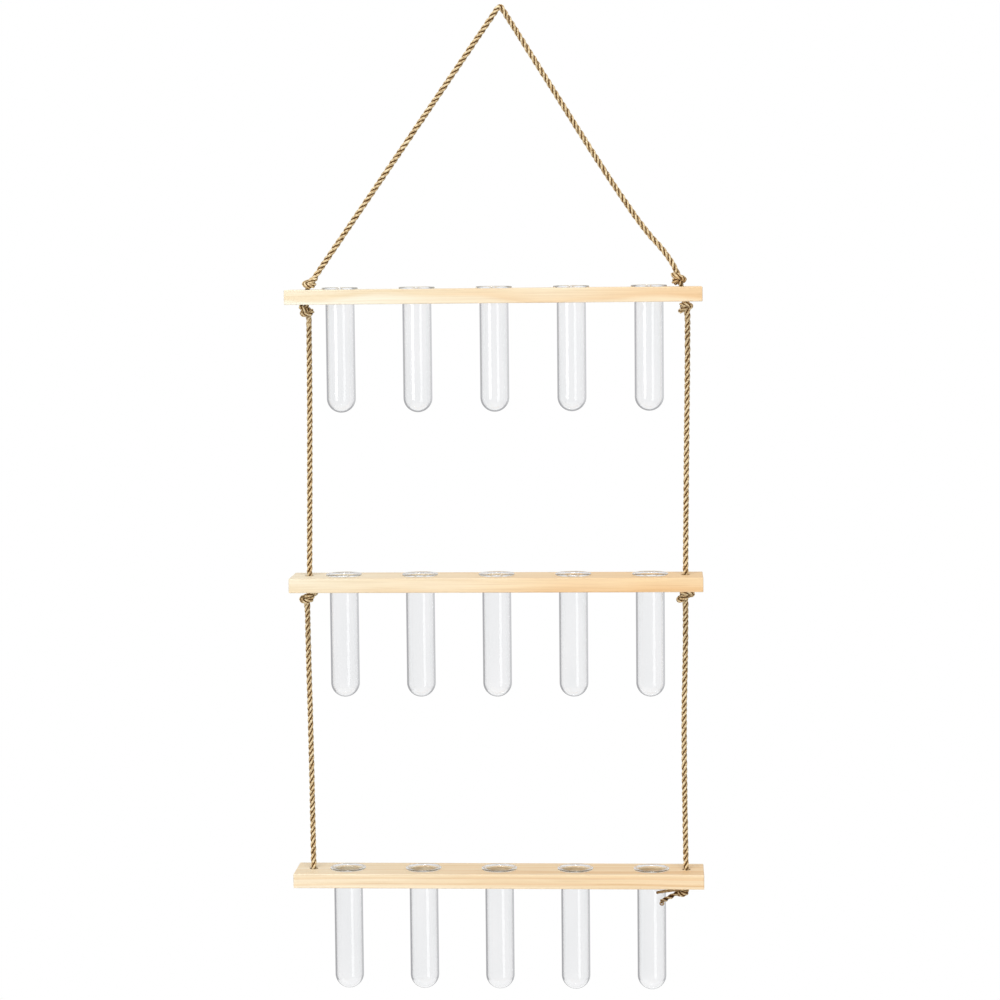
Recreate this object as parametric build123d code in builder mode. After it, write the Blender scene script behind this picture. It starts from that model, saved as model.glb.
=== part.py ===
"""Hanging propagation vase: three wooden shelves of glass tubes on one jute rope.

Millimetres, +Z up, +X to the right and +Y to the back as the vase is seen from the front.
The origin is the axis of the hook that the rope's bend hangs on.
"""

import os
from math import asin, cos, degrees, hypot, radians, sin, tan

from build123d import *

# Shelves
SHELF_LENGTH = 400.0
SHELF_DEPTH = 52.0
SHELF_THICK = 14.0
SHELF_EDGE = 0.8
HOOK_TO_TOP_SHELF = 261.0
TOP_TO_MIDDLE_SHELF = 278.0
MIDDLE_TO_BOTTOM_SHELF = 290.0
HOOK_OFFSET = 9.0

# Glass tubes
TUBES_PER_SHELF = 5
TUBE_DIAMETER = 28.0
TUBE_WALL = 1.5
TUBE_LENGTH = 121.0
TUBE_CLEARANCE = 0.5
LIP_WIDTH = 3.5
LIP_THICK = 2.0
LIP_FLAT = 0.5
NECK_FILLET = 1.2

# Rope and knots
ROPE_DIAMETER = 6.0
ROPE_INSET = 17.0
ROPE_HOLE_CLEARANCE = 1.2
HOOK_DIAMETER = 3.0
KNOT_TURN_RADIUS = 4.2
KNOT_TURN_RISE = 5.4
KNOT_TILT = 15.0
KNOT_LEAN = 5.0
KNOT_SEAT = 0.6
KNOT_NECK = 2.2
KNOT_TO_LIP = 4.3
BEND_LEG = 8.0
SWING_CLEARANCE = 0.3

# Loose ends under the bottom shelf, by two points from the knot's middle
TAIL_DIAMETER = 4.6
TAIL_ROUTE = [(-15.5, -6.8, -6.8), (-24.0, -15.8, -11.4)]
STRAND_DIAMETER = 2.8
STRAND_ROUTE = [(-17.5, -9.0, 1.4), (-28.8, -17.8, 1.2)]

# Places worked out from the sizes above
LEFT, RIGHT = -1, 1
SIDES = {"left": LEFT, "right": RIGHT}
SHELF_X = -HOOK_OFFSET
SHELF_Z = {
    "top": -HOOK_TO_TOP_SHELF,
    "middle": -HOOK_TO_TOP_SHELF - TOP_TO_MIDDLE_SHELF,
    "bottom": -HOOK_TO_TOP_SHELF - TOP_TO_MIDDLE_SHELF - MIDDLE_TO_BOTTOM_SHELF,
}

# The ropes pass through near the ends of the shelves
ROPE_R = ROPE_DIAMETER / 2
ROPE_SPACING = SHELF_LENGTH - 2 * ROPE_INSET
ROPE_X = {side: SHELF_X + sign * ROPE_SPACING / 2 for side, sign in SIDES.items()}
BEND_R = HOOK_DIAMETER / 2 + ROPE_R
BEND_SWING_Z = BEND_R - BEND_LEG

# How far a knot reaches from its middle, upwards and outwards; its seat is pressed flat
KNOT_REACH = (
    KNOT_TURN_RADIUS * sin(radians(KNOT_TILT))
    + KNOT_TURN_RISE / 2 * cos(radians(KNOT_TILT))
    + ROPE_R
)
KNOT_GIRTH = KNOT_TURN_RADIUS + ROPE_R
KNOT_MIDDLE = KNOT_REACH - KNOT_SEAT
KNOT_SWING = KNOT_MIDDLE + KNOT_REACH + KNOT_NECK
FLAT_KNOT_MIDDLE = ROPE_R - KNOT_SEAT

# The row of tubes stands evenly between the knots on the top shelf
LIP_DIAMETER = TUBE_DIAMETER + 2 * LIP_WIDTH
LIP_FLARE = LIP_WIDTH + TUBE_WALL - LIP_THICK / 2 - LIP_FLAT
TUBE_ROW = ROPE_SPACING - 2 * (KNOT_LEAN + KNOT_GIRTH + KNOT_TO_LIP) - LIP_DIAMETER
TUBE_PITCH = TUBE_ROW / (TUBES_PER_SHELF - 1)
TUBE_X = [SHELF_X - TUBE_ROW / 2 + TUBE_PITCH * i for i in range(TUBES_PER_SHELF)]


def underside(shelf):
    return SHELF_Z[shelf] - SHELF_THICK


def save(builder, label):
    builder.part.label = label
    export_step(builder.part, f"parts/{label}.step")


def rod(start, end, radius):
    """Round rod between two points, added to the part being built."""
    run = Vector(*end) - Vector(*start)
    with Locations(Plane(origin=start, z_dir=run)):
        Cylinder(radius, run.length, align=(Align.CENTER, Align.CENTER, Align.MIN))


def swing_barrel(place, radius, width, mode):
    """Cylinder along X about the line that a rope swings on."""
    with Locations(place):
        Cylinder(radius, width, rotation=(0, 90, 0), mode=mode)


def swing_socket(place):
    swing_barrel(
        place, ROPE_R + SWING_CLEARANCE, ROPE_DIAMETER + 2 * SWING_CLEARANCE, Mode.SUBTRACT
    )


def knot_turns(middle, heights, tilt):
    """Turns of rope pulled tight round a core, about an upright line that tilts sideways."""
    along = Vector(sin(radians(tilt)), 0, cos(radians(tilt)))
    across = Vector(cos(radians(tilt)), 0, -sin(radians(tilt)))
    core = max(heights) - min(heights) + ROPE_DIAMETER - KNOT_SEAT
    with BuildSketch(Plane(origin=middle, x_dir=across, z_dir=(0, -1, 0))) as section:
        with Locations([(KNOT_TURN_RADIUS, height) for height in heights]):
            Circle(ROPE_R)
        Rectangle(KNOT_TURN_RADIUS, core, align=(Align.MIN, Align.CENTER))
    revolve(section.sketch, axis=Axis(middle, along))


def knot(middle, tilt):
    knot_turns(middle, (-KNOT_TURN_RISE / 2, KNOT_TURN_RISE / 2), tilt)


class Leg:
    """Straight rope from the bend over the hook down to a knot on the top shelf."""

    def __init__(self, side):
        sign = SIDES[side]
        self.side = side
        self.knot = Vector(ROPE_X[side] - sign * KNOT_LEAN, 0, SHELF_Z["top"] + KNOT_MIDDLE)
        reach = hypot(self.knot.X, self.knot.Z)
        slope = asin(abs(self.knot.X) / reach) - asin(BEND_R / reach)
        self.slope = degrees(slope)
        self.down = Vector(sign * sin(slope), 0, -cos(slope))
        self.tangent = Vector(sign * cos(slope), 0, sin(slope)) * BEND_R
        self.swing = self.tangent + self.down * ((self.tangent.Z - BEND_SWING_Z) / cos(slope))
        self.tilt = -sign * KNOT_TILT
        self.end = self.knot - self.down * (KNOT_GIRTH + KNOT_NECK)


def make_hanging_bend(left, right):
    with BuildPart() as bend:
        with BuildLine(Plane.XZ) as path:
            Line((left.swing.X, left.swing.Z), (left.tangent.X, left.tangent.Z))
            CenterArc((0, 0), BEND_R, right.slope, 180 - right.slope - left.slope)
            Line((right.tangent.X, right.tangent.Z), (right.swing.X, right.swing.Z))
        with BuildSketch(Plane(origin=left.swing, z_dir=-left.down)):
            Circle(ROPE_R)
        sweep(path=path.wire())
        for leg in (left, right):
            swing_barrel(
                leg.swing, ROPE_R + SWING_CLEARANCE, 2 * ROPE_DIAMETER, Mode.SUBTRACT
            )
    save(bend, "hanging_bend")


def make_leg(leg):
    with BuildPart() as rope:
        rod(leg.swing, leg.swing - leg.down * ROPE_DIAMETER, ROPE_R)
        swing_barrel(leg.swing, ROPE_R, 3 * ROPE_DIAMETER, Mode.INTERSECT)
        rod(leg.swing, leg.end, ROPE_R)
    save(rope, f"rope_leg_{leg.side}")


def make_shelf(shelf):
    top = SHELF_Z[shelf]
    tube_hole = TUBE_DIAMETER / 2 + TUBE_CLEARANCE
    with BuildPart() as board:
        with BuildSketch(Plane((SHELF_X, 0, top))):
            Rectangle(SHELF_LENGTH, SHELF_DEPTH)
        extrude(amount=-SHELF_THICK)
        fillet(board.edges(), SHELF_EDGE)
        with Locations([(x, 0, top) for x in TUBE_X]):
            CounterSinkHole(tube_hole, tube_hole + NECK_FILLET, counter_sink_angle=90)
        with Locations([(x, 0, top) for x in ROPE_X.values()]):
            Hole(ROPE_R + ROPE_HOLE_CLEARANCE)
    save(board, f"shelf_{shelf}")


def make_tube(shelf, number):
    """Round-bottomed tube whose flared lip rests on the shelf."""
    seat = Vector(TUBE_X[number - 1], 0, SHELF_Z[shelf])
    outer = TUBE_DIAMETER / 2
    inner = outer - TUBE_WALL
    lip_r = LIP_DIAMETER / 2
    lip_end = lip_r - LIP_THICK / 2
    flare_r = inner + LIP_FLARE
    round_z = LIP_THICK - TUBE_LENGTH + outer
    with BuildPart() as tube:
        with BuildSketch(Plane(seat, x_dir=(1, 0, 0), z_dir=(0, -1, 0))):
            with BuildLine():
                RadiusArc((0, round_z - outer), (outer, round_z), -outer)
                Line((outer, round_z), (outer, -NECK_FILLET))
                RadiusArc((outer, -NECK_FILLET), (outer + NECK_FILLET, 0), NECK_FILLET)
                Line((outer + NECK_FILLET, 0), (lip_end, 0))
                ThreePointArc((lip_end, 0), (lip_r, LIP_THICK / 2), (lip_end, LIP_THICK))
                Line((lip_end, LIP_THICK), (flare_r, LIP_THICK))
                RadiusArc((flare_r, LIP_THICK), (inner, LIP_THICK - LIP_FLARE), -LIP_FLARE)
                Line((inner, LIP_THICK - LIP_FLARE), (inner, round_z))
                RadiusArc((inner, round_z), (0, round_z - inner), inner)
                Line((0, round_z - inner), (0, round_z - outer))
            make_face()
        revolve(axis=Axis(seat, (0, 0, 1)))
    save(tube, f"tube_{shelf}_{number}")


def make_knot_above_top(leg):
    """Knot on the top shelf, with the rope that goes on down through the shelf's hole."""
    hole = Vector(ROPE_X[leg.side], 0, underside("top"))
    with BuildPart() as upper_knot:
        knot(leg.knot, leg.tilt)
        rod(leg.knot, leg.end, ROPE_R)
        split(bisect_by=Plane.XY.offset(SHELF_Z["top"]), keep=Keep.TOP)
        rod(hole, (hole.X, 0, leg.knot.Z), ROPE_R)
    save(upper_knot, f"knot_above_top_{leg.side}")


def make_knot_below(shelf, side):
    """Knot that carries a shelf, with a socket for the rope that swings below it."""
    seat = Vector(ROPE_X[side], 0, underside(shelf))
    swing = seat - Vector(0, 0, KNOT_SWING)
    with BuildPart() as lower_knot:
        knot(seat - Vector(0, 0, KNOT_MIDDLE), SIDES[side] * KNOT_TILT)
        rod(seat, swing, ROPE_R)
        split(bisect_by=Plane.XY.offset(seat.Z), keep=Keep.BOTTOM)
        swing_socket(swing)
    save(lower_knot, f"knot_below_{shelf}_{side}")


def make_span(upper, lower, side):
    """Upright rope from the knot below one shelf down through the next shelf's hole."""
    swing = Vector(ROPE_X[side], 0, underside(upper) - KNOT_SWING)
    with BuildPart() as rope:
        rod(swing, swing + Vector(0, 0, ROPE_DIAMETER), ROPE_R)
        swing_barrel(swing, ROPE_R, 2 * ROPE_DIAMETER, Mode.INTERSECT)
        rod(swing, (swing.X, 0, underside(lower)), ROPE_R)
    save(rope, f"rope_{upper}_to_{lower}_{side}")


def make_flat_knot():
    """Flat turn of rope that ends the left side, tucked under the bottom shelf."""
    seat = Vector(ROPE_X["left"], 0, underside("bottom"))
    with BuildPart() as flat_knot:
        knot_turns(seat - Vector(0, 0, FLAT_KNOT_MIDDLE), (0,), 0)
        split(bisect_by=Plane.XY.offset(seat.Z), keep=Keep.BOTTOM)
    save(flat_knot, "knot_below_bottom_left")


class LooseEnd:
    """Free end of the rope, which leaves its knot straight and then bends once."""

    def __init__(self, middle, route, diameter):
        bend, tip = (middle + Vector(*point) for point in route)
        self.root = middle + (bend - middle).normalized() * (KNOT_GIRTH + KNOT_NECK)
        self.points = [self.root, bend, tip]
        self.diameter = diameter
        shorter = min((bend - self.root).length, (tip - bend).length)
        half_turn = radians((bend - self.root).get_angle(tip - bend)) / 2
        self.bend_radius = 0.45 * shorter / tan(half_turn)


def make_end_knot(middle, loose_ends):
    """Knot that ends the right side, with the roots of its loose ends."""
    seat = middle + Vector(0, 0, KNOT_MIDDLE)
    with BuildPart() as end_knot:
        knot(middle, KNOT_TILT)
        split(bisect_by=Plane.XY.offset(seat.Z), keep=Keep.BOTTOM)
        rod(seat, middle, ROPE_R)
        for loose_end in loose_ends:
            rod(middle, loose_end.root, loose_end.diameter / 2)
    save(end_knot, "knot_below_bottom_right")


def make_loose_end(label, loose_end):
    start, bend = loose_end.points[:2]
    with BuildPart() as rope:
        with BuildLine() as path:
            FilletPolyline(*loose_end.points, radius=loose_end.bend_radius)
        with BuildSketch(Plane(origin=start, z_dir=bend - start)):
            Circle(loose_end.diameter / 2)
        sweep(path=path.wire())
    save(rope, label)
    print(f"{label}: bend radius {loose_end.bend_radius:.1f}, length {path.wire().length:.1f} mm")


os.makedirs("parts", exist_ok=True)

legs = {side: Leg(side) for side in SIDES}
make_hanging_bend(legs["left"], legs["right"])
for leg in legs.values():
    make_leg(leg)
    make_knot_above_top(leg)

for shelf in SHELF_Z:
    make_shelf(shelf)
    for number in range(1, TUBES_PER_SHELF + 1):
        make_tube(shelf, number)

for upper, lower in (("top", "middle"), ("middle", "bottom")):
    for side in SIDES:
        make_knot_below(upper, side)
        make_span(upper, lower, side)

make_flat_knot()
end_middle = Vector(ROPE_X["right"], 0, underside("bottom") - KNOT_MIDDLE)
tail = LooseEnd(end_middle, TAIL_ROUTE, TAIL_DIAMETER)
strand = LooseEnd(end_middle, STRAND_ROUTE, STRAND_DIAMETER)
make_end_knot(end_middle, [tail, strand])
make_loose_end("rope_tail_right", tail)
make_loose_end("rope_strand_right", strand)
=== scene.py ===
"""Hanging propagation vase: jute rope, pine shelves and glass tubes, dressed on the CAD frame."""
from math import cos, pi, radians, sin, tau

import bmesh
import bpy
from mathutils import Matrix, Vector, noise
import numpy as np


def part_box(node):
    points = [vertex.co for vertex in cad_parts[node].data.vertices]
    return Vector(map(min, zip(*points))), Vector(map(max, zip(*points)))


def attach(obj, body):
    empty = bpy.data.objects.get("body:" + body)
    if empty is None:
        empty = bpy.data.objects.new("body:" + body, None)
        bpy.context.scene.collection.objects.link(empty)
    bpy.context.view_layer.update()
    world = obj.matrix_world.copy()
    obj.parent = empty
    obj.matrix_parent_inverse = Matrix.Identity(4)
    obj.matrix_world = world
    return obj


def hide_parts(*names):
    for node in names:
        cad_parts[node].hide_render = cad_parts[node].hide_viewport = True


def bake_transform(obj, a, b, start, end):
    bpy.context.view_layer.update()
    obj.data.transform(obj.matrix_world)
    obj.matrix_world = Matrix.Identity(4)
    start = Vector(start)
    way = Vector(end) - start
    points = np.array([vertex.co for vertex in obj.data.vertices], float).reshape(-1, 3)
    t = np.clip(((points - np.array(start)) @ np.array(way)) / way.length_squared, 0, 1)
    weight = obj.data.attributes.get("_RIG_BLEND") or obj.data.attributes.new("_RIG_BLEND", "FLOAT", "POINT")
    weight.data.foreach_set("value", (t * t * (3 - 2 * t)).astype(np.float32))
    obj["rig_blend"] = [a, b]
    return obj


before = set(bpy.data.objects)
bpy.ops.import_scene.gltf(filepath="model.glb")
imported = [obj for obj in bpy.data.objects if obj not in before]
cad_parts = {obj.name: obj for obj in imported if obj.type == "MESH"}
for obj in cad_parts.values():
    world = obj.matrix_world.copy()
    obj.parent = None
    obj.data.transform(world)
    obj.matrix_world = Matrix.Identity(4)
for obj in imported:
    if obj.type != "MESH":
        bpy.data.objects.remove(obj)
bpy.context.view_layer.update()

# Camera, in the frame of the hook
CAMERA_PLACE = (0.1483, -2.6256, -0.231)
CAMERA_YAW = radians(3.34)
CAMERA_PITCH = radians(84.9)
CAMERA_ROLL = radians(-0.55)
CAMERA_LENS = 98.1

# Light and floor; place, size and power of each lamp
AMBIENT = (0.46, 0.46, 0.46, 1)
ROOM_LEAN = 0.35
FLOOR_DROP = 2.0
FLOOR_SIZE = 3.0
LAMPS = {
    "key": ((-1.65, -2.55, -0.3), (1.2, 1.8), 34.5),
    "overhead": ((0.0, -1.6, 3.6), (1.8, 1.2), 98),
    "fill": ((1.5, -2.4, -1.2), (1.0, 1.4), 13),
}

# Laid rope: strands that wind about its line, each spun from yarns
STRANDS = 3
STRAND_SHARE = 0.51
STRAND_SIDES = 20
ROPE_LAY = 0.0195
ROPE_STEP = 0.0009
STEP_SLACK = 1e-9
ROUTE_RESOLUTION = 64
ROPE_DRAWN = 0.94
UPRIGHT_PHASE = 1.3
YARNS = 5
YARN_DEPTH = 0.07
# Painted shade in the yarn valleys
YARN_SHADE = 0.16
YARN_TWIST = -1.35

# Unevenness of the rope: how far its strands swell and its lay wanders, and how often in a metre
SWELL = 0.09
SWELLS_PER_METRE = 240
SWELL_SEED = 0.5
LAY_WANDER = 0.6
WANDERS_PER_METRE = 70
WANDER_SEED = (0.5, 2.5)

# How far the swellings and the fibres are shifted from strand to strand, per radian between them
SWELL_SHIFT = 7.3
FIBRE_SHIFT = 3.1

# How far each upright rope lies beside its hole, where it leaves the knot and halfway down
ROPE_ASIDE = {
    ("top", "left"): (0.0036, 0.0026),
    ("top", "right"): (0.0030, 0.0014),
    ("middle", "left"): (-0.0022, -0.0006),
    ("middle", "right"): (0.0002, -0.0026),
}

# How each leg comes to its knot, as points from the knot's middle, and how the rope bends over the hook
LEG_ENDS = {
    "left": [(0.0022, 0, 0.0010)],
    "right": [(-0.0424, 0, 0.0568), (-0.0051, 0, 0.0170), (0, 0, 0)],
}
HOOK_CORNER = Vector((-0.0006, 0, 0.0082))
NEAR_HOOK = 0.008

# Where the rope bends as a tier swings: heights from the hook's axis, and from the swing axis at a knot
BEND_AT_HOOK = (0.002, -0.016)
BEND_AT_KNOT = (0.006, -0.012)

# Middle line of a tight overhand knot in rope diameters, from the rope above it to the rope below
OVERHAND = [
    (-0.32, 0.23, 1.09), (-0.14, 0.32, 0.60), (0.03, 0.55, 0.16), (0.39, 0.71, -0.21),
    (0.82, 0.54, -0.52), (1.10, 0.07, -0.71), (1.09, -0.52, -0.75), (0.81, -1.01, -0.64),
    (0.31, -1.23, -0.43), (-0.20, -1.10, -0.22), (-0.57, -0.67, -0.07), (-0.83, -0.15, 0.06),
    (-1.02, 0.39, 0.20), (-0.90, 0.91, 0.40), (-0.49, 1.26, 0.60), (0.08, 1.28, 0.74),
    (0.59, 0.99, 0.74), (0.88, 0.51, 0.58), (0.84, 0.03, 0.30), (0.53, -0.24, -0.06),
    (0.20, -0.26, -0.48), (0.01, -0.34, -0.96), (-0.16, -0.43, -1.44),
]

# From the middle of a knot to its seat, its lay and the rope that leaves it, all in rope diameters
KNOT_REACH = 1.24
KNOT_LAY = 2.9
KNOT_LEAVING = 3

# Rope thickness in each knot, the knot's turn in degrees, and 1 or -1 for the hand of its tying
KNOTS = {
    "knot_above_top_left": (0.0049, 300, 1),
    "knot_above_top_right": (0.0052, 135, 1),
    "knot_below_top_left": (0.0050, 300, -1),
    "knot_below_top_right": (0.0048, 180, 1),
    "knot_below_middle_left": (0.0053, 270, 1),
    "knot_below_middle_right": (0.0054, 210, 1),
    "knot_below_bottom_right": (0.0049, 270, 1),
}
KNOT_RISE = {"left": 0.0010, "right": 0.0012}
END_KNOT_SHIFT = -0.003

# Overlaps: steps of a knot's rope up its leg, its lengths into the shelf, and an upright rope's below it
STEPS_INTO_LEG = 5
INTO_TOP = 0.008
INTO_UNDERSIDE = 0.006
ROPE_THROUGH = 0.004

# Flat turn at the other end of the rope, sideways in turn radii and down in rope diameters
FLAT_TURN = [
    (0.0, 0.0, 0.6), (0.5, -0.5, -0.42), (1.10, 0.0, -0.45), (0.8, 0.9, -0.45), (-0.6, 1.1, -0.45),
    (-1.15, 0.1, -0.45), (-0.6, -1.05, -0.45), (0.6, -1.05, -0.42), (0.7, 0.2, -0.20), (0.0, 0.4, 0.3),
]
FLAT_DIAMETER = 0.0040
FLAT_TURN_RADIUS = 0.0046

# Loose ends, as points from a middle this far below the shelf; a shade factor under one paints shade onto
# rope under the shelf
END_DROP = 0.0061
TAIL_ROUTE = [(-0.004, 0, -0.0008), (-0.0160, -0.0068, -0.0056), (-0.0246, -0.0148, -0.0084)]
TAIL_DIAMETER = 0.0048
TAIL_STRANDS = 2
TAIL_SHARE = 0.56
TAIL_LAY = 0.015
STRAND_ROUTE = [(-0.004, -0.003, 0.0010), (-0.0175, -0.0090, 0.0014), (-0.0288, -0.0178, 0.0012)]
LOOSE_STRAND_DIAMETER = 0.0028
CURL_RADIUS = 0.0017
CURL_DIAMETER = 0.0014
CURL_STEPS = 18
CURL_STEP_DEGREES = 20
# Painted shade under the bottom shelf, on the end knot and tail, and on the loose strand and its curl, where
# it also lets the yarn ridges show
END_PAINTED_SHADE = 0.90
STRAND_PAINTED_SHADE = 0.80

# Tube profile and how finely each of its arcs is divided
TUBE_WALL = 0.0015
LIP_WIDTH = 0.0035
LIP_FLARE = 0.0035
NECK_FILLET = 0.0012
LIP_GAP = 0.00015
TUBE_SIDES = 96
ROUND_STEPS = 20
FILLET_STEPS = 6
LIP_STEPS = 10
FLARE_STEPS = 8
ON_AXIS = 1e-7

# Mirrorings in the glass after which light goes straight on
TRAPPED_AFTER = 3

# Growth rings about the tree's heart, which is given from the middle of each board
RING_SPACING = 0.0055
RING_WANDER = 0.013
HEARTS = {"top": (0.1, 0.031, 0.012), "middle": (-0.3, 0.046, 0.018), "bottom": (0.2, -0.012, 0.036)}

# How warm each board's wood is under the hook, and how much warmer per metre to the right; the paler left
# end is painted light from the lamp on the left
WARMTH_AND_PAINTED_LIGHT = {"top": (0.34, 2.6), "middle": (0.66, 2.6), "bottom": (0.60, 1.1)}

SHELVES = ("top", "middle", "bottom")
TUBES_PER_SHELF = 5
SIDES = {"left": -1, "right": 1}


def middle(node):
    low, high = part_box(node)
    return (Vector(low) + Vector(high)) / 2


def top_of(shelf):
    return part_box(f"shelf_{shelf}")[1][2]


def underside(shelf):
    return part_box(f"shelf_{shelf}")[0][2]


SPAN_LOW, SPAN_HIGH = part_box("rope_top_to_middle_left")
ROPE_DIAMETER = SPAN_HIGH[0] - SPAN_LOW[0]
ROPE_R = ROPE_DIAMETER / 2
ROPE_X = {side: middle(f"rope_top_to_middle_{side}").x for side in SIDES}
CLEAR_OF_BEND = 6 * ROPE_DIAMETER


class Nodes:
    """Short way to write a material's nodes and links."""

    def __init__(self, tree):
        self.tree = tree
        tree.nodes.clear()

    def add(self, kind, **settings):
        node = self.tree.nodes.new(kind)
        for name, value in settings.items():
            if hasattr(node, name):
                setattr(node, name, value)
            else:
                node.inputs[name.replace("_", " ")].default_value = value
        return node

    def join(self, value, entry):
        """Links a socket to an entry, or sets the entry to a plain value."""
        if isinstance(value, bpy.types.NodeSocket):
            self.tree.links.new(value, entry)
        else:
            entry.default_value = value

    def ramp(self, factor, stops):
        node = self.add("ShaderNodeValToRGB")
        elements = node.color_ramp.elements
        while len(elements) < len(stops):
            elements.new(0.5)
        for element, (place, colour) in zip(elements, stops):
            element.position = place
            element.color = (*colour, 1)
        self.join(factor, node.inputs["Fac"])
        return node.outputs["Color"]

    def mix(self, kind, factor, first, second):
        node = self.add("ShaderNodeMix", data_type="RGBA", blend_type=kind)
        for value, place in ((factor, 0), (first, 6), (second, 7)):
            self.join(value, node.inputs[place])
        return node.outputs[2]

    def math(self, operation, *values):
        node = self.add("ShaderNodeMath", operation=operation)
        for value, entry in zip(values, node.inputs):
            self.join(value, entry)
        return node.outputs[0]

    def vector(self, operation, *values):
        node = self.add("ShaderNodeVectorMath", operation=operation)
        for value, entry in zip(values, node.inputs):
            self.join(value, entry)
        return node.outputs["Value" if operation == "LENGTH" else "Vector"]

    def noise(self, vector, scale, detail=4.0, roughness=0.6):
        """Noise over the coordinates, scaled by three numbers along their axes."""
        node = self.add("ShaderNodeTexNoise", Scale=1.0, Detail=detail, Roughness=roughness)
        self.join(self.vector("MULTIPLY", vector, scale), node.inputs["Vector"])
        return node.outputs["Fac"]

    def bump(self, height, strength, distance):
        node = self.add("ShaderNodeBump", Strength=strength, Distance=distance)
        self.join(height, node.inputs["Height"])
        return node.outputs["Normal"]

    def finish(self, shader, kind="ShaderNodeOutputMaterial"):
        self.join(shader.outputs[0], self.add(kind).inputs["Surface"])


def new_material(name):
    material = bpy.data.materials.new(name)
    material.use_nodes = True
    return material, Nodes(material.node_tree)


def jute_material():
    """Tan fibres along each yarn, pale on the crowns of the strands, with painted shade in the grooves
    between strands and yarns.
    """
    material, n = new_material("laid_jute")
    uv = n.add("ShaderNodeUVMap", uv_map="strand").outputs["UV"]
    fibres = n.noise(uv, (26.0, 2.4, 1.0), 6.0, 0.72)
    patches = n.noise(uv, (3.0, 10.0, 1.0), 3.0)
    crown_shade = n.add("ShaderNodeAttribute", attribute_name="crown_shade").outputs["Fac"]
    tan = n.ramp(fibres, [(0.30, (0.26, 0.15, 0.060)), (0.42, (0.66, 0.46, 0.22)),
                          (0.52, (0.96, 0.79, 0.49)), (0.64, (1.0, 0.94, 0.73))])
    spots = n.ramp(patches, [(0.40, (0.44, 0.33, 0.22)), (0.52, (1, 1, 1))])
    # Painted shade: darker where the surface lies nearer the rope's middle line, in yarn valleys, and where
    # a shade factor is under one
    painted_groove_shade = n.ramp(crown_shade, [(0.55, (0.09, 0.045, 0.012)), (0.68, (0.35, 0.22, 0.10)),
                             (0.83, (1, 1, 1))])
    patchy = n.mix("MULTIPLY", 0.8, tan, spots)
    shader = n.add("ShaderNodeBsdfPrincipled", Roughness=0.85)
    n.join(0.2, shader.inputs["Specular IOR Level"])
    n.join(n.mix("MULTIPLY", 1.0, patchy, painted_groove_shade), shader.inputs["Base Color"])
    n.join(n.bump(fibres, 0.6, 0.0005), shader.inputs["Normal"])
    n.finish(shader)
    return material


def pine_material(name, heart, warmth, painted_light_drift):
    """Pale planed softwood: growth rings about a line along the board, with painted light that leaves it
    paler to the left end and warmer to the right.
    """
    material, n = new_material(name)
    coordinates = n.add("ShaderNodeTexCoord").outputs["Object"]
    split = n.add("ShaderNodeSeparateXYZ")
    n.join(coordinates, split.inputs[0])
    along = split.outputs["X"]
    place = n.vector("SUBTRACT", coordinates, heart)
    wander = n.noise(place, (3.2, 14.0, 14.0), 2.0, 0.5)
    across = n.vector("LENGTH", n.vector("MULTIPLY", place, (0.012, 1.0, 1.0)))
    radius = n.math("MULTIPLY_ADD", wander, RING_WANDER, across)
    ring = n.math("FRACT", n.math("MULTIPLY", radius, 1 / RING_SPACING))
    fine = n.noise(place, (14.0, 900.0, 900.0), 4.0)
    streaks = n.noise(place, (4.0, 160.0, 160.0), 3.0)
    pale = n.ramp(ring, [(0.0, (0.970, 0.905, 0.745)), (0.50, (0.965, 0.885, 0.700)),
                         (0.86, (0.920, 0.785, 0.560)), (1.0, (0.970, 0.905, 0.745))])
    warm = n.ramp(ring, [(0.0, (0.955, 0.720, 0.440)), (0.50, (0.945, 0.690, 0.400)),
                         (0.86, (0.870, 0.560, 0.280)), (1.0, (0.955, 0.720, 0.440))])
    patchy = n.math("MULTIPLY_ADD", n.noise(place, (5.0, 20.0, 20.0), 1.0), 0.5, warmth - 0.25)
    # Painted light: the wood grows paler towards the left end, where the lamp on the left falls
    wood = n.mix("MIX", n.math("MULTIPLY_ADD", along, painted_light_drift, patchy), pale, warm)
    streak_shade = n.ramp(streaks, [(0.36, (0.88, 0.81, 0.71)), (0.58, (1, 1, 1))])
    fibre_shade = n.ramp(fine, [(0.34, (0.84, 0.77, 0.68)), (0.56, (1, 1, 1))])
    streaked = n.mix("MULTIPLY", 0.5, wood, streak_shade)
    fibrous = n.mix("MULTIPLY", 0.5, streaked, fibre_shade)
    shader = n.add("ShaderNodeBsdfPrincipled", Roughness=0.55)
    n.join(fibrous, shader.inputs["Base Color"])
    n.join(n.bump(fine, 0.15, 0.0002), shader.inputs["Normal"])
    n.finish(shader)
    return material


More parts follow.
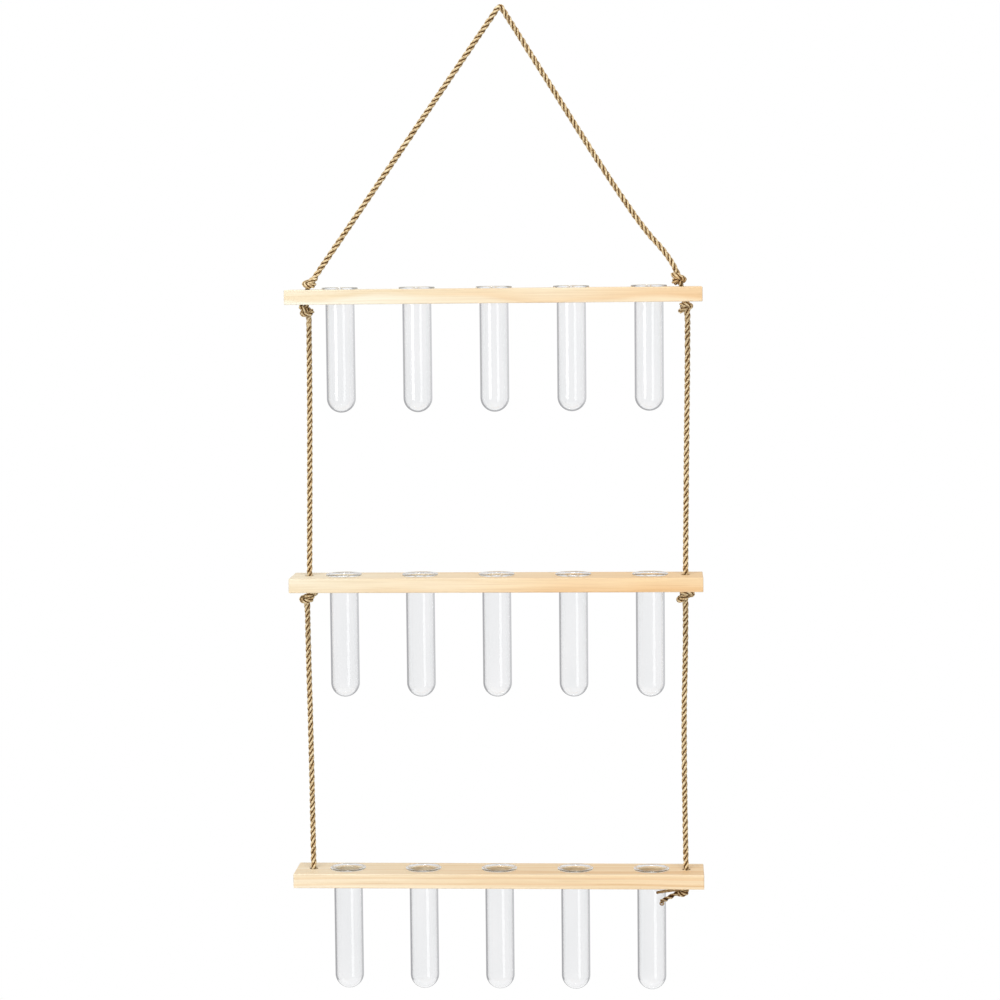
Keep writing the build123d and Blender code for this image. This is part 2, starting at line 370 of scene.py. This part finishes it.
def glass_material():
    """Clear glass, very slightly clouded; soft light shines through it and none stays trapped in it."""
    material, n = new_material("tube_glass")
    place = n.add("ShaderNodeTexCoord").outputs["Object"]
    shader = n.add("ShaderNodeBsdfPrincipled", Roughness=0.0, IOR=1.47)
    clouds = n.noise(place, (40.0, 40.0, 12.0), 1.0)
    clouded = n.ramp(clouds, [(0.35, (0.945, 0.95, 0.955)), (0.65, (0.97, 0.97, 0.975))])
    n.join(clouded, shader.inputs["Base Color"])
    n.join(1.0, shader.inputs["Transmission Weight"])
    clear = n.add("ShaderNodeBsdfTransparent", Color=(0.93, 0.94, 0.945, 1))
    mixed = n.add("ShaderNodeMixShader")
    path = n.add("ShaderNodeLightPath")
    soft = n.math("MAXIMUM", path.outputs["Is Shadow Ray"], path.outputs["Is Diffuse Ray"])
    trapped = n.math("GREATER_THAN", path.outputs["Glossy Depth"], TRAPPED_AFTER - 0.5)
    n.join(n.math("MAXIMUM", soft, trapped), mixed.inputs[0])
    n.join(shader.outputs[0], mixed.inputs[1])
    n.join(clear.outputs[0], mixed.inputs[2])
    n.finish(mixed)
    return material


def seen_directly(n):
    """One for rays from the camera, and for those that glass or gloss sends on."""
    path = n.add("ShaderNodeLightPath")
    seen = n.math("MAXIMUM", path.outputs["Is Camera Ray"], path.outputs["Is Glossy Ray"])
    return n.math("MAXIMUM", seen, path.outputs["Is Transmission Ray"]), path


def floor_material():
    """Pale floor that looks white and gives back soft light."""
    material, n = new_material("pale_floor")
    mixed = n.add("ShaderNodeMixShader")
    n.join(seen_directly(n)[0], mixed.inputs[0])
    n.join(n.add("ShaderNodeBsdfDiffuse", Color=(0.72, 0.72, 0.72, 1)).outputs[0], mixed.inputs[1])
    n.join(n.add("ShaderNodeEmission", Strength=1.0).outputs[0], mixed.inputs[2])
    n.finish(mixed)
    return material


def link(name, data):
    thing = bpy.data.objects.new(name, data)
    bpy.context.scene.collection.objects.link(thing)
    return thing


def mesh_from(bm, name, material):
    bmesh.ops.recalc_face_normals(bm, faces=bm.faces)
    mesh = bpy.data.meshes.new(name)
    bm.to_mesh(mesh)
    bm.free()
    mesh.materials.append(material)
    return mesh


def route_points(points):
    """Points along a smooth line that has these points as its control points."""
    curve = bpy.data.curves.new("route", "CURVE")
    curve.dimensions = "3D"
    spline = curve.splines.new("NURBS")
    spline.points.add(len(points) - 1)
    for control, point in zip(spline.points, points):
        control.co = (*point, 1)
    spline.order_u = 3
    spline.use_endpoint_u = True
    spline.resolution_u = ROUTE_RESOLUTION
    holder = bpy.data.objects.new("route", curve)
    line = bpy.data.meshes.new_from_object(holder)
    found = [v.co.copy() for v in line.vertices]
    bpy.data.objects.remove(holder)
    bpy.data.curves.remove(curve)
    bpy.data.meshes.remove(line)
    return evenly(found, ROPE_STEP)


def rope_length(points):
    return sum((b - a).length for a, b in zip(points, points[1:]))


def evenly(points, step):
    """The same line as points about a step apart."""
    total = rope_length(points)
    count = max(2, round(total / step))
    spaced, walked, target = [points[0]], 0.0, total / count
    for a, b in zip(points, points[1:]):
        run = (b - a).length
        while run > 0 and walked + run >= target - STEP_SLACK and len(spaced) < count:
            spaced.append(a.lerp(b, (target - walked) / run))
            target += total / count
        walked += run
    return spaced + [points[-1]]


def frames_along(points):
    """A pair of side directions at each point, turned as little as possible from one to the next."""
    side = None
    for i, point in enumerate(points):
        ahead = (points[min(i + 1, len(points) - 1)] - points[max(i - 1, 0)]).normalized()
        if side is None:
            side = ahead.orthogonal()
        side = (side - ahead * side.dot(ahead)).normalized()
        yield point, side, ahead.cross(side)


def add_strand(bm, frames, walked, radius, offset, lay, start, painted_shade_factor):
    """One strand that winds about the line, ridged by the yarns that it is spun from, with a painted shade
    value at each point.
    """
    crown_shade = bm.verts.layers.float["crown_shade"]
    uv = bm.loops.layers.uv["strand"]
    rings = []
    for s, (point, side, up) in zip(walked, frames):
        wander = noise.noise(Vector((s * WANDERS_PER_METRE, *WANDER_SEED)))
        turn = start + tau * s / lay + LAY_WANDER * wander
        out = side * cos(turn) + up * sin(turn)
        around = up * cos(turn) - side * sin(turn)
        swell = noise.noise(Vector((s * SWELLS_PER_METRE, start * SWELL_SHIFT, SWELL_SEED)))
        size = radius * (1 + SWELL * swell)
        ring = []
        for j in range(STRAND_SIDES):
            angle = pi + tau * j / STRAND_SIDES
            wave = cos(YARNS * (angle - YARN_TWIST * tau * s / lay))
            wide = size * (1 + YARN_DEPTH * wave)
            reach = out * (offset + wide * cos(angle)) + around * (wide * sin(angle))
            vertex = bm.verts.new(point + reach)
            # Painted shade value: lower towards the rope's middle line and in yarn valleys, times the shade
            # factor
            shade = 1 - YARN_SHADE * (1 - wave) / 2
            vertex[crown_shade] = min(1.0, reach.length / (offset + radius)) * shade * painted_shade_factor
            ring.append(vertex)
        rings.append(ring)
    for i, (first, second) in enumerate(zip(rings, rings[1:])):
        for j in range(STRAND_SIDES):
            j2 = (j + 1) % STRAND_SIDES
            face = bm.faces.new((first[j], first[j2], second[j2], second[j]))
            face.smooth = True
            for loop, (u, v) in zip(face.loops, ((j, i), (j + 1, i), (j + 1, i + 1), (j, i + 1))):
                along = walked[v] / lay
                across = u / STRAND_SIDES - YARN_TWIST * along + start
                loop[uv].uv = (across, along + FIBRE_SHIFT * start)
    bm.faces.new(rings[0][::-1])
    bm.faces.new(rings[-1])


def rope_object(name, points, diameter, strands=STRANDS, share=STRAND_SHARE, lay=ROPE_LAY,
                phase=0.0, painted_shade_factor=1.0):
    """Laid rope along the points, of strands that each take a share of its radius; a shade factor under one
    paints it darker.
    """
    radius = diameter / 2 * share
    offset = diameter / 2 - radius
    frames = list(frames_along(points))
    walked = [0.0]
    for a, b in zip(points, points[1:]):
        walked.append(walked[-1] + (b - a).length)
    bm = bmesh.new()
    bm.verts.layers.float.new("crown_shade")
    bm.loops.layers.uv.new("strand")
    for k in range(strands):
        add_strand(bm, frames, walked, radius, offset, lay, phase + tau * k / strands, painted_shade_factor)
    rope = link(name, mesh_from(bm, name, JUTE))
    return rope


def knot_object(node, body, route, diameter, painted_shade_factor=1.0):
    """Rope tied along the control points of its route, in place of the knot's solid."""
    points = route_points(route)
    rope = rope_object(f"tied_{node}", points, diameter, lay=KNOT_LAY * diameter, painted_shade_factor=painted_shade_factor)
    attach(rope, body)
    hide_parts(node)


def overhand(node, centre):
    """Points of an overhand knot about its centre, from the rope above it to the rope below."""
    diameter, turned, hand = KNOTS[node]
    spin = Matrix.Diagonal((hand, 1, 1)) @ Matrix.Rotation(radians(turned), 3, "Z")
    return [centre + diameter * (spin @ Vector(point)) for point in OVERHAND]


def tube_profile(bottom, seat, top, lip_r):
    """Radius and height along a tube's section, from the bottom up the outside and down the inside."""
    outer = lip_r - LIP_WIDTH
    inner = outer - TUBE_WALL
    lip_end = lip_r - (top - seat) / 2
    round_z = bottom + outer

    def arc(r0, z0, radius, start, end, steps):
        angles = [radians(start + (end - start) * i / steps) for i in range(steps + 1)]
        return [(r0 + radius * cos(a), z0 + radius * sin(a)) for a in angles]

    return (
        arc(0, round_z, outer, -90, 0, ROUND_STEPS)
        + arc(outer + NECK_FILLET, seat - NECK_FILLET, NECK_FILLET, 180, 90, FILLET_STEPS)
        + arc(lip_end, (seat + top) / 2, (top - seat) / 2, -90, 90, LIP_STEPS)
        + arc(inner + LIP_FLARE, top - LIP_FLARE, LIP_FLARE, 90, 180, FLARE_STEPS)
        + arc(0, round_z, inner, 0, -90, ROUND_STEPS)
    )


def tube_object(shelf, number):
    """Tube turned from the CAD tube's own profile, finely divided for clean refraction."""
    node = f"tube_{shelf}_{number}"
    low, high = (Vector(corner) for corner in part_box(node))
    axis = (low + high) / 2
    bm = bmesh.new()
    rings = []
    for r, z in tube_profile(low.z, top_of(shelf) + LIP_GAP, high.z, (high.x - low.x) / 2):
        sides = TUBE_SIDES if r > ON_AXIS else 1
        turns = [tau * j / sides for j in range(sides)]
        rings.append([bm.verts.new((axis.x + r * cos(t), axis.y + r * sin(t), z)) for t in turns])
    for first, second in zip(rings, rings[1:]):
        for j in range(TUBE_SIDES):
            j2 = (j + 1) % TUBE_SIDES
            ends = [first[j % len(first)], first[j2 % len(first)]]
            ends += [second[j2 % len(second)], second[j % len(second)]]
            bm.faces.new(list(dict.fromkeys(ends))).smooth = True
    tube = link(f"glass_{node}", mesh_from(bm, node, GLASS))
    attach(tube, f"{node}_body")
    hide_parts(node)


def add_camera():
    data = bpy.data.cameras.new("camera")
    data.lens = CAMERA_LENS
    camera = link("camera", data)
    camera.matrix_world = (
        Matrix.Translation(CAMERA_PLACE)
        @ Matrix.Rotation(CAMERA_YAW, 4, "Z")
        @ Matrix.Rotation(CAMERA_PITCH, 4, "X")
        @ Matrix.Rotation(CAMERA_ROLL, 4, "Z")
    )
    bpy.context.scene.camera = camera


def add_area_light(name, place, size, power):
    """Soft lamp that shines on the middle of the shelves and isn't seen through the glass."""
    data = bpy.data.lights.new(name, "AREA")
    data.shape = "RECTANGLE"
    data.size, data.size_y = size
    data.energy = power
    light = link(name, data)
    light.location = place
    light.visible_transmission = False
    target = middle("shelf_middle")
    light.rotation_euler = (target - Vector(place)).to_track_quat("-Z", "Y").to_euler()


def add_world():
    """White all round, where glass and gloss mirror a grey room with a pale ceiling."""
    world = bpy.data.worlds.new("studio")
    bpy.context.scene.world = world
    world.use_nodes = True
    n = Nodes(world.node_tree)
    split = n.add("ShaderNodeSeparateXYZ")
    n.join(n.add("ShaderNodeTexCoord").outputs["Generated"], split.inputs[0])
    height = n.math("MULTIPLY_ADD", split.outputs["X"], ROOM_LEAN, split.outputs["Z"])
    room = n.ramp(n.math("MULTIPLY_ADD", height, 0.5, 0.5),
                  [(0.30, (0.42, 0.42, 0.43)), (0.50, (0.60, 0.60, 0.61)),
                   (0.70, (0.78, 0.78, 0.79)), (1.0, (1, 1, 1))])
    seen, path = seen_directly(n)
    mirrored = n.math("MINIMUM", path.outputs["Glossy Depth"], 1.0)
    studio = n.mix("MIX", mirrored, (1, 1, 1, 1), room)
    back = n.add("ShaderNodeBackground")
    n.join(n.mix("MIX", seen, AMBIENT, studio), back.inputs["Color"])
    n.finish(back, "ShaderNodeOutputWorld")


def add_floor():
    bm = bmesh.new()
    bmesh.ops.create_grid(bm, x_segments=1, y_segments=1, size=FLOOR_SIZE / 2)
    bmesh.ops.translate(bm, verts=bm.verts, vec=(0, 0, -FLOOR_DROP))
    floor = link("floor", mesh_from(bm, "floor", floor_material()))


JUTE = jute_material()
GLASS = glass_material()

add_camera()
add_world()
add_floor()
for name, settings in LAMPS.items():
    add_area_light(name, *settings)

# Rope over the hook, down both legs to the knots on the top shelf
on_top = {}
for side in SIDES:
    node = f"knot_above_top_{side}"
    rise = KNOT_REACH * KNOTS[node][0] + KNOT_RISE[side]
    on_top[side] = Vector((middle(node).x, 0, top_of("top") + rise))
legs = {side: [on_top[side] + Vector(point) for point in LEG_ENDS[side]] for side in SIDES}
leg_down = {side: (legs[side][0] - HOOK_CORNER).normalized() for side in SIDES}
hung = route_points([
    *legs["left"],
    HOOK_CORNER + leg_down["left"] * CLEAR_OF_BEND,
    HOOK_CORNER + leg_down["left"] * NEAR_HOOK,
    HOOK_CORNER,
    HOOK_CORNER + leg_down["right"] * NEAR_HOOK,
    HOOK_CORNER + leg_down["right"] * CLEAR_OF_BEND,
    *legs["right"],
])
near_knot = {"left": hung[STEPS_INTO_LEG], "right": hung[-STEPS_INTO_LEG]}
rope = rope_object("rope_hanging", hung, ROPE_DRAWN * ROPE_DIAMETER)
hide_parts("hanging_bend", "rope_leg_left", "rope_leg_right")
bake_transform(rope, "hook_bend", "top_tier", start=(0, 0, BEND_AT_HOOK[0]), end=(0, 0, BEND_AT_HOOK[1]))
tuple(hung[0])
rope_length(hung)

# Upright rope from each knot down through the next shelf
for upper, lower in zip(SHELVES, SHELVES[1:]):
    for side, sign in SIDES.items():
        x = ROPE_X[side]
        leaving, halfway = (x + aside for aside in ROPE_ASIDE[upper, side])
        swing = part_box(f"rope_{upper}_to_{lower}_{side}")[1][2] - ROPE_R
        knot_reach = KNOT_REACH * KNOTS[f"knot_below_{upper}_{side}"][0]
        start = Vector((leaving, 0, underside(upper) - knot_reach))
        end = Vector((x, 0, underside(lower) - ROPE_THROUGH))
        below = Vector((leaving, 0, swing - CLEAR_OF_BEND))
        line = route_points([start, below, Vector((halfway, 0, (start.z + end.z) / 2)), end])
        rope = rope_object(f"rope_{upper}_{lower}_{side}", line, ROPE_DRAWN * ROPE_DIAMETER,
                           phase=UPRIGHT_PHASE * sign)
        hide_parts(f"rope_{upper}_to_{lower}_{side}")
        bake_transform(rope, f"{upper}_tier", f"{lower}_tier",
                 start=(x, 0, swing + BEND_AT_KNOT[0]), end=(x, 0, swing + BEND_AT_KNOT[1]))
        rope_length(line)

# Knots above and below the top shelf and below the middle shelf
for side in SIDES:
    node = f"knot_above_top_{side}"
    hole = Vector((ROPE_X[side], 0, top_of("top") - INTO_TOP))
    route = [near_knot[side]] + overhand(node, on_top[side])[1:] + [hole]
    knot_object(node, "top_tier", route, KNOTS[node][0])
    for shelf in ("top", "middle"):
        node = f"knot_below_{shelf}_{side}"
        diameter = KNOTS[node][0]
        hole = Vector((ROPE_X[side], 0, underside(shelf) + INTO_UNDERSIDE))
        aside = ROPE_ASIDE[shelf, side][0] / 2
        centre = Vector((ROPE_X[side] + aside, 0, underside(shelf) - KNOT_REACH * diameter))
        leave = centre + Vector((aside, 0, -KNOT_LEAVING * diameter))
        knot_object(node, f"{shelf}_tier", [hole] + overhand(node, centre) + [leave], diameter)

# Ends of the rope under the bottom shelf
seat = Vector((ROPE_X["left"], 0, underside("bottom")))
turn_scale = Matrix.Diagonal((FLAT_TURN_RADIUS, FLAT_TURN_RADIUS, FLAT_DIAMETER))
turn = [seat + turn_scale @ Vector(point) for point in FLAT_TURN]
knot_object("knot_below_bottom_left", "bottom_tier", turn, FLAT_DIAMETER)
node = "knot_below_bottom_right"
diameter = KNOTS[node][0]
hole = Vector((ROPE_X["right"], 0, underside("bottom") + INTO_UNDERSIDE))
centre = Vector((ROPE_X["right"] + END_KNOT_SHIFT, 0, underside("bottom") - KNOT_REACH * diameter))
knot_object(node, "bottom_tier", [hole] + overhand(node, centre)[:-1], diameter, END_PAINTED_SHADE)

end_middle = Vector((ROPE_X["right"], 0, underside("bottom") - END_DROP))
tail = route_points([end_middle + Vector(point) for point in TAIL_ROUTE])
rope = rope_object("rope_tail", tail, TAIL_DIAMETER, TAIL_STRANDS, TAIL_SHARE, TAIL_LAY, painted_shade_factor=END_PAINTED_SHADE)
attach(rope, "bottom_tier")
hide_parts("rope_tail_right")
run = tail[-1] - tail[-2]
ahead = Vector((run.x, 0, run.z)).normalized()
downwards = Vector((-ahead.z, 0, ahead.x))
turns = [radians(CURL_STEP_DEGREES * i) for i in range(CURL_STEPS)]
curl = [tail[-1] + downwards * CURL_RADIUS * (1 - cos(t)) + ahead * CURL_RADIUS * sin(t) for t in turns]
rope = rope_object("rope_tail_curl", [tail[-3]] + curl, CURL_DIAMETER, strands=1, share=1.0,
                   painted_shade_factor=STRAND_PAINTED_SHADE)
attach(rope, "bottom_tier")
strand = route_points([end_middle + Vector(point) for point in STRAND_ROUTE])
rope = rope_object("rope_strand", strand, LOOSE_STRAND_DIAMETER, strands=1, share=1.0, painted_shade_factor=STRAND_PAINTED_SHADE)
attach(rope, "bottom_tier")
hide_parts("rope_strand_right")

# Shelves and tubes
for shelf in SHELVES:
    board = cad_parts[f"shelf_{shelf}"]
    board.data.materials.clear()
    heart = Vector(HEARTS[shelf]) + middle(f"shelf_{shelf}")
    board.data.materials.append(pine_material(f"pine_{shelf}", heart, *WARMTH_AND_PAINTED_LIGHT[shelf]))
    for number in range(1, TUBES_PER_SHELF + 1):
        tube_object(shelf, number)

bpy.context.scene.view_settings.view_transform = "Standard"
